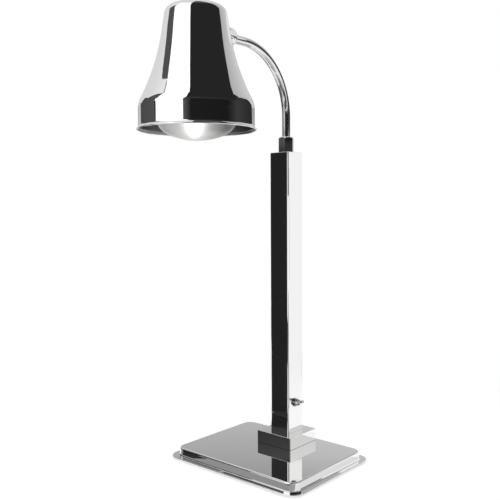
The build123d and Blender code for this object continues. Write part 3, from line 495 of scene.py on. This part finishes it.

# The shade. Stainless sheet 1 mm thick, spun over a former into a bell, its lip turned out and
# hemmed, then polished inside and outside. The lining is given a far darker tone than the outside:
# painted shade inside the bell.
shade_low, shade_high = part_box("shade")
shade_y = (shade_low[1] + shade_high[1]) / 2
head_axis = (0, shade_y, 0)
rim_z = shade_low[2]
shade_sheet = 0.001


def rounded_line(corners, rounds, steps):
    """Points along straight runs joined by arcs: at each inner corner an arc of the given radius
    touches both runs, at radius times the tangent of half the turn from the corner."""
    corners = [np.array(corner, float) for corner in corners]
    line = [corners[0]]
    for before, corner, after, radius in zip(corners, corners[1:], corners[2:], rounds):
        back = (before - corner) / np.linalg.norm(before - corner)
        ahead = (after - corner) / np.linalg.norm(after - corner)
        half = np.arccos(np.clip(back @ ahead, -1, 1)) / 2
        centre = corner + (back + ahead) / np.linalg.norm(back + ahead) * radius / sin(half)
        start = corner + back * radius / tan(half) - centre
        end = corner + ahead * radius / tan(half) - centre
        angle = np.arccos(np.clip(start @ end / radius**2, -1, 1))
        t = np.linspace(0, 1, steps)[:, None]
        line.extend(centre + (np.sin((1 - t) * angle) * start + np.sin(t * angle) * end) / sin(angle))
    line.append(corners[-1])
    return np.array(line)


def filled_line(line, spacing):
    """The same line with points no further apart than spacing."""
    gaps = np.linalg.norm(np.diff(line, axis=0), axis=1)
    line = line[np.concatenate([[True], gaps > 1e-9])]
    length = np.concatenate([[0], np.cumsum(np.linalg.norm(np.diff(line, axis=0), axis=1))])
    at = np.unique(np.round(np.concatenate([length, np.arange(0, length[-1], spacing)]), 7))
    return np.stack([np.interp(at, length, line[:, 0]), np.interp(at, length, line[:, 1])], axis=1)


def inside_of(line, depth):
    """The line moved sideways by depth, to the left of its direction."""
    way = np.gradient(line, axis=0)
    way /= np.linalg.norm(way, axis=1)[:, None]
    return line + depth * np.stack([-way[:, 1], way[:, 0]], axis=1)


def turned(name, profile, centre, steps, closed=False, thread=None, axes=np.eye(3)):
    """Surface of revolution: each profile point (radius, height) is carried round the upright axis,
    its radius less the thread's depth there. axes turn the whole, and centre is added last."""
    angle = np.linspace(0, 2 * pi, steps, endpoint=False)
    radius, a = np.meshgrid(profile[:, 0], angle)
    height = np.broadcast_to(profile[:, 1], radius.shape)
    if thread:
        radius = radius - thread(a, height)
    points = np.stack([radius * np.cos(a), radius * np.sin(a), height], axis=-1) @ axes.T
    return put_mesh(name, *sheet_of_points(points + np.array(centre), len(profile), steps, closed, True))


bell_corners = [(0.0888, 0), (0.0861, 0.0045), (0.0861, 0.0376), (0.0576, 0.0975),
                (0.0447, 0.181), (0, 0.181)]
bell_rounds = [0.004, 0.025, 0.330, 0.014]
bell = filled_line(rounded_line(bell_corners, bell_rounds, 32), 0.004)
hem_start, hem_radius, hem_middle = 0.0016, 0.0010, np.array([0.0882, 0.0006])
outside = bell[bell[:, 1] > hem_start]
lining = inside_of(bell, shade_sheet)
lining = lining[lining[:, 1] > hem_start]
lining[-1, 0] = 0.0
hem_turn = np.radians(np.linspace(30, -205, 14))
hem = hem_middle + hem_radius * np.stack([np.cos(hem_turn), np.sin(hem_turn)], axis=1)
shade = turned("shade_bell", np.concatenate([outside[::-1], hem, lining]), (0, shade_y, rim_z), 256)
shade.data.materials.append(
    polished("polished_spun_steel", stainless, 0.012, 0.040, head_axis, (1, 1, 6), 0.00003))
# The lining's dark tone, 0.26 against 0.90 outside, is painted shade inside the bell.
shade.data.materials.append(
    polished("spun_steel_inside_painted_shade", (0.26, 0.26, 0.258), 0.32, 0.46, head_axis, (1, 1, 9), 0.00003))

# The faces above the hem that look at the shade's axis, or down in its upper part, are its lining,
# and take the darker second finish: painted shade inside the bell.
upper_part = 0.05
centres = np.zeros(len(shade.data.polygons) * 3)
normals = np.zeros(len(shade.data.polygons) * 3)
shade.data.polygons.foreach_get("center", centres)
shade.data.polygons.foreach_get("normal", normals)
centres = centres.reshape(-1, 3) - (0, shade_y, rim_z)
normals = normals.reshape(-1, 3)
inwards = np.einsum("ij,ij->i", centres[:, :2], normals[:, :2]) < 0
painted_shade_faces = (centres[:, 2] > hem_start) & (inwards | (normals[:, 2] < -0.5) & (centres[:, 2] > upper_part))
shade.data.polygons.foreach_set("material_index", painted_shade_faces.astype(np.int32))
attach(shade, "head")
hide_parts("shade")

# The lampholder. A white porcelain body hangs by two screws from a zinc foot plate, and a brass
# shell with a rolled thread lines its bore, with a sprung contact at its end.
dress(zinc, "lampholder_foot", "foot_plate_screws", "foot_plate_nuts", "holder_screws")
porcelain = moulded("glazed_porcelain", (0.78, 0.76, 0.71), (0.88, 0.87, 0.83), 0.10, 0.22, 160.0,
                    0.00008, Coat_Weight=1.0, Coat_Roughness=0.04, Coat_IOR=1.5)
dress(porcelain, "lampholder_body")
shell_brass = polished("rolled_brass", (0.74, 0.57, 0.30), 0.10, 0.28, head_axis, (1, 1, 12),
                       wave_scale=60.0)
dress(shell_brass, "lampholder_contact")


def rolled_thread(depth, pitch, low, high):
    """A rounded thread: its depth rises and falls as a cosine once for each pitch of height, later by
    a pitch for each turn, and fades out within a third of a pitch of low and of high."""
    def cut(angle, height):
        fade = np.clip(np.minimum(height - low, high - height) / (pitch / 3), 0, 1)
        return depth * fade * (0.5 - 0.5 * np.cos(2 * pi * height / pitch - angle))
    return cut


thread_depth = 0.0009
thread_pitch = 0.0036
shell_low, shell_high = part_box("lampholder_shell")
shell_radius = (shell_high[0] - shell_low[0]) / 2
shell_sheet, thread_start, thread_step, thread_sides = 0.0005, shell_low[2] + 0.002, 0.0003, 72
level = np.arange(shell_low[2], shell_high[2] + 1e-6, thread_step)
shell_wall = np.stack([np.full(len(level), shell_radius), level], axis=1)
shell_profile = np.concatenate([shell_wall, shell_wall[::-1] - (shell_sheet, 0)])
shell_thread = rolled_thread(thread_depth, thread_pitch, thread_start, shell_high[2])
holder_shell = turned("threaded_lampholder_shell", shell_profile, head_axis, thread_sides, True,
                      shell_thread)
holder_shell.data.materials.append(shell_brass)
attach(holder_shell, "head")
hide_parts("lampholder_shell")

# The bulb. A blown reflector heat bulb, lit: its face is frosted, its back is silvered inside, and a
# coiled filament hangs on two wires from a glass stem. The brass screw cap is cemented on its neck.
bulb_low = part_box("bulb_glass")[0]
bulb_foot = (0, shade_y, bulb_low[2])
glass_wall = 0.0012
face_round, edge_round, bulb_radius = 0.110, 0.034, 0.0625
frost_top, frost_fade = 0.046, 0.008
face_turn = np.arcsin((bulb_radius - edge_round) / (face_round - edge_round))
edge_level = face_round - (face_round - edge_round) * cos(face_turn)
t = np.linspace(0, face_turn, 16)
face_arc = np.stack([face_round * np.sin(t), face_round - face_round * np.cos(t)], axis=1)
t = np.linspace(face_turn, pi / 2, 20)[1:]
edge_out = bulb_radius - edge_round + edge_round * np.sin(t)
edge_arc = np.stack([edge_out, edge_level - edge_round * np.cos(t)], axis=1)
neck_radius, neck_end_radius = 0.0185, 0.0131
back_corners = [(bulb_radius, edge_level), (bulb_radius, 0.0706), (neck_radius, 0.1146),
                (neck_radius, 0.1400), (neck_end_radius, 0.1460)]
back_rounds = [0.074, 0.020, 0.004]
back_line = rounded_line(back_corners, back_rounds, 20)
glass_line = filled_line(np.concatenate([face_arc, edge_arc, back_line[1:]]), 0.003)
glass_inner = inside_of(glass_line, glass_wall)
glass_inner[0, 0] = 0.0
glass = turned("bulb_envelope", np.concatenate([glass_line, glass_inner[::-1]]), bulb_foot, 160)

# The lit frost: a narrow core and a broad glow where the bulb is looked through squarely, as powers of
# Facing, then more light along the lower edge. More light towards one side and less towards the other
# is a painted reflection of the room's bright white wall on that side.
core_narrowness, core_light, glow_narrowness, glow_light = 28.0, 1.3, 2.5, 0.36
reflection_side, painted_dimming, painted_reflection_light, side_start, side_end = (-0.75, -0.66, 0.0), -0.14, 0.22, -0.055, 0.062
edge_light, edge_height = 0.26, 0.012
core_middle, roundness = (-0.0030, shade_y - 0.0026, bulb_low[2]), (90.0, 90.0, 0.0)
glass_finish, tree, out = blank_finish("frosted_bulb_glass")
place = texture_place(tree, bulb_foot)
height = wire(tree, "ShaderNodeSeparateXYZ", _0=place).outputs["Z"]
toward_bright_wall = vector_maths(tree, "DOT_PRODUCT", place, reflection_side, output="Value")
frost = between(tree, height, 1.0, 0.0, frost_top, frost_top + frost_fade)
normal = wire(tree, "ShaderNodeNewGeometry").outputs["Normal"]
outwards = vector_maths(tree, "MULTIPLY_ADD", texture_place(tree, core_middle), roundness, normal)
lay = wire(tree, "ShaderNodeLayerWeight", Blend=0.5, Normal=vector_maths(tree, "NORMALIZE", outwards))
facing = maths(tree, "SUBTRACT", 1.0, lay.outputs["Facing"])
core = maths(tree, "MULTIPLY", maths(tree, "POWER", facing, core_narrowness), core_light)
glow = maths(tree, "MULTIPLY", maths(tree, "POWER", facing, glow_narrowness), glow_light)
glow_and_painted_reflection = maths(tree, "ADD", core, glow)
# Painted reflection: more emitted light on the side towards the bright white wall, less on the far side.
glow_and_painted_reflection = maths(tree, "ADD", glow_and_painted_reflection, between(tree, toward_bright_wall, painted_dimming, painted_reflection_light, side_start, side_end))
glow_and_painted_reflection = maths(tree, "ADD", glow_and_painted_reflection, between(tree, height, edge_light, 0.0, 0.0, edge_height))
grain = cloud(tree, place, 1500.0)
shine = wire(
    tree, "ShaderNodeBsdfPrincipled", IOR=1.5,
    Base_Color=tinted(tree, frost, (0.96, 0.96, 0.96), (0.20, 0.20, 0.20)),
    Transmission_Weight=between(tree, frost, 1.0, 0.12),
    Roughness=maths(tree, "MULTIPLY", frost, between(tree, grain, 0.22, 0.34)),
    Emission_Color=(1.0, 0.985, 0.96, 1.0),
    Emission_Strength=maths(tree, "MULTIPLY", frost, maths(tree, "MAXIMUM", glow_and_painted_reflection, 0.0)),
    Normal=raised(tree, grain, 0.000004),
)
tree.links.new(shine.outputs[0], out.inputs["Surface"])
glass.data.materials.append(glass_finish)
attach(glass, "head")
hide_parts("bulb_glass")

# The silvering: a thin skin inside the glass, from where the frost fades out up to the neck's end.
silver_gap, silver_thick, silver_start = 0.0003, 0.0002, frost_top + 0.006
silver_line = inside_of(glass_line, glass_wall + silver_gap)
silver_line = silver_line[silver_line[:, 1] > silver_start]
silver_profile = np.concatenate([silver_line, inside_of(silver_line, silver_thick)[::-1]])
silver = turned("bulb_silvering", silver_profile, bulb_foot, 128, True)
silver.data.materials.append(polished("bulb_silver", (0.93, 0.93, 0.93), 0.10, 0.20, head_axis))
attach(silver, "head")

# The stem and the cap's insulator are clear drawn glass, with faint lines along them.
stem_glass, tree, out = blank_finish("clear_stem_glass")
place = texture_place(tree, head_axis)
drawn = cloud(tree, texture_place(tree, head_axis, (1, 1, 0.05)), 700.0)
shine = wire(
    tree, "ShaderNodeBsdfPrincipled", IOR=1.5, Transmission_Weight=1.0,
    Base_Color=tinted(tree, cloud(tree, place, 120.0), (0.86, 0.90, 0.89), (0.96, 0.98, 0.97)),
    Roughness=between(tree, drawn, 0.0, 0.12, 0.35, 0.75), Normal=raised(tree, drawn, 0.00003),
)
tree.links.new(shine.outputs[0], out.inputs["Surface"])
dress(stem_glass, "bulb_stem", "bulb_contact")
support_wire = plated("support_wire", (0.40, 0.40, 0.42), (0.56, 0.56, 0.56), 0.25, 0.45, 1200.0)
dress(support_wire, "bulb_supports")

# The filament: a fine coil that follows a ring, open between the two supports.
filament_low, filament_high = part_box("bulb_filament")
ring_radius, coil_radius, coil_turns, half_gap = 0.011, 0.0008, 76, radians(20)
wire_radius, wire_sides, points_a_turn = 0.00022, 6, 12
turn = np.linspace(half_gap, 2 * pi - half_gap, coil_turns * points_a_turn)
twist = np.linspace(0, 2 * pi * coil_turns, len(turn))
out_to = np.stack([np.cos(turn), np.sin(turn), np.zeros(len(turn))], axis=1)
along_ring = np.stack([-np.sin(turn), np.cos(turn), np.zeros(len(turn))], axis=1)
coil = out_to * (ring_radius + coil_radius * np.cos(twist))[:, None]
coil += np.array([0, shade_y, (filament_low[2] + filament_high[2]) / 2])
coil[:, 2] += coil_radius * np.sin(twist)
thick = np.full(len(coil), wire_radius)
thick[[0, -1]] = 0.0
filament = put_mesh("coiled_filament", *sheet_of_points(
    circles_along(coil, along_ring, thick, wire_sides), wire_sides, len(coil), True, False))
hot_tungsten, tree, out = blank_finish("hot_tungsten")
heat = cloud(tree, texture_place(tree, head_axis), 160.0)
shine = wire(
    tree, "ShaderNodeBsdfPrincipled", Metallic=1.0, Roughness=between(tree, heat, 0.3, 0.5),
    Base_Color=tinted(tree, heat, (0.30, 0.30, 0.31), (0.46, 0.45, 0.44)),
    Emission_Color=(1.0, 0.86, 0.66, 1.0), Emission_Strength=between(tree, heat, 3.0, 5.0),
    Normal=raised(tree, heat, 0.00001),
)
tree.links.new(shine.outputs[0], out.inputs["Surface"])
filament.data.materials.append(hot_tungsten)
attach(filament, "head")
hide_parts("bulb_filament")

# The cap: a thin brass shell, closed at the neck, whose thread runs in the lampholder's.
cap_low, cap_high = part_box("bulb_cap")
cap_radius = (cap_high[0] - cap_low[0]) / 2
level = np.arange(cap_low[2], cap_high[2] + 1e-6, thread_step)
cap_wall = np.stack([np.full(len(level), cap_radius), level], axis=1)
cap_inner = cap_wall[cap_wall[:, 1] > cap_low[2] + shell_sheet][::-1] - (shell_sheet, 0)
cap_profile = np.concatenate([[(0, cap_low[2])], cap_wall, cap_inner, [(0, cap_inner[-1, 1])]])
cap_thread = rolled_thread(thread_depth, thread_pitch, thread_start, cap_high[2] - 0.001)
cap = turned("threaded_bulb_cap", cap_profile, head_axis, thread_sides, False, cap_thread)
cap.data.materials.append(shell_brass)
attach(cap, "head")
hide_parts("bulb_cap")

# The switch. A toggle with a chromium-plated bat lever in a threaded bushing, held to the post's side
# by a nut and a toothed washer. Its moulded case and tinned tabs are inside the post.
bushing_low, bushing_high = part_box("switch_bushing")
bushing_middle = (np.array(bushing_low) + np.array(bushing_high)) / 2
bushing_radius = (bushing_high[1] - bushing_low[1]) / 2
bore_radius, mouth_radius, mouth_depth = 0.0040, 0.0046, 0.0015
bushing_depth, bushing_pitch, bushing_step, end_gap = 0.0004, 0.001, 0.0001, 0.0003
outer_x, inner_x = bushing_high[0], bushing_low[0]
level = np.arange(inner_x + bushing_depth, outer_x - end_gap, bushing_step)
bushing_wall = np.stack([np.full(len(level), bushing_radius), level], axis=1)
bushing_profile = np.concatenate([
    [(bore_radius, inner_x), (bushing_radius - bushing_depth, inner_x)],
    bushing_wall,
    [(bushing_radius - bushing_depth, outer_x), (mouth_radius, outer_x)],
    [(bore_radius, outer_x - mouth_depth)],
])
bushing_turns = rolled_thread(bushing_depth, bushing_pitch, inner_x, outer_x)


def bushing_thread(angle, height):
    """The thread's depth on the bushing's outer wall, and 0 on its ends and bore."""
    on_wall = np.broadcast_to(bushing_profile[:, 0] == bushing_radius, height.shape)
    return np.where(on_wall, bushing_turns(angle, height), 0.0)


along_x = np.array([[0, 0, 1], [0, 1, 0], [-1, 0, 0]], float)
bushing = turned("threaded_switch_bushing", bushing_profile, (0, bushing_middle[1], bushing_middle[2]),
                 64, True, bushing_thread, along_x)
switch_axis = (0, 0.124, 0.091)
switch_chrome = polished("switch_chrome", (0.88, 0.88, 0.89), 0.13, 0.21, switch_axis, wave=0.000003,
                         wave_scale=90.0)
bushing.data.materials.append(switch_chrome)
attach(bushing, "base")
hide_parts("switch_bushing")
dress(switch_chrome, "switch_nut", "switch_lock_washer", "switch_lever")
phenolic = moulded("switch_phenolic", (0.012, 0.012, 0.013), (0.032, 0.031, 0.030), 0.28, 0.50, 420.0,
                   0.00003)
dress(phenolic, "switch_body")
tinned_brass = plated("tinned_brass", (0.66, 0.62, 0.52), (0.80, 0.79, 0.76), 0.20, 0.42, 900.0)
dress(tinned_brass, "switch_terminals")

# The wiring. Silicone-sheathed leads run from a nylon terminal block on the post's rear wall to the
# switch and up through the arm to the lampholder, and a rubber grommet takes the mains cord.
sheath = moulded("silicone_sheath", (0.56, 0.54, 0.50), (0.70, 0.68, 0.64), 0.42, 0.62, 800.0, 0.00002,
                 Subsurface_Weight=0.2, Subsurface_Scale=0.0006)
dress(sheath, "feed_leads", "post_cable", "arm_cable", "head_leads")
dress(nylon, "terminal_block")
dress(zinc, "terminal_screws", "terminal_block_screw", "earth_stud", "earth_nut")
dress(foot_rubber, "cord_grommet")
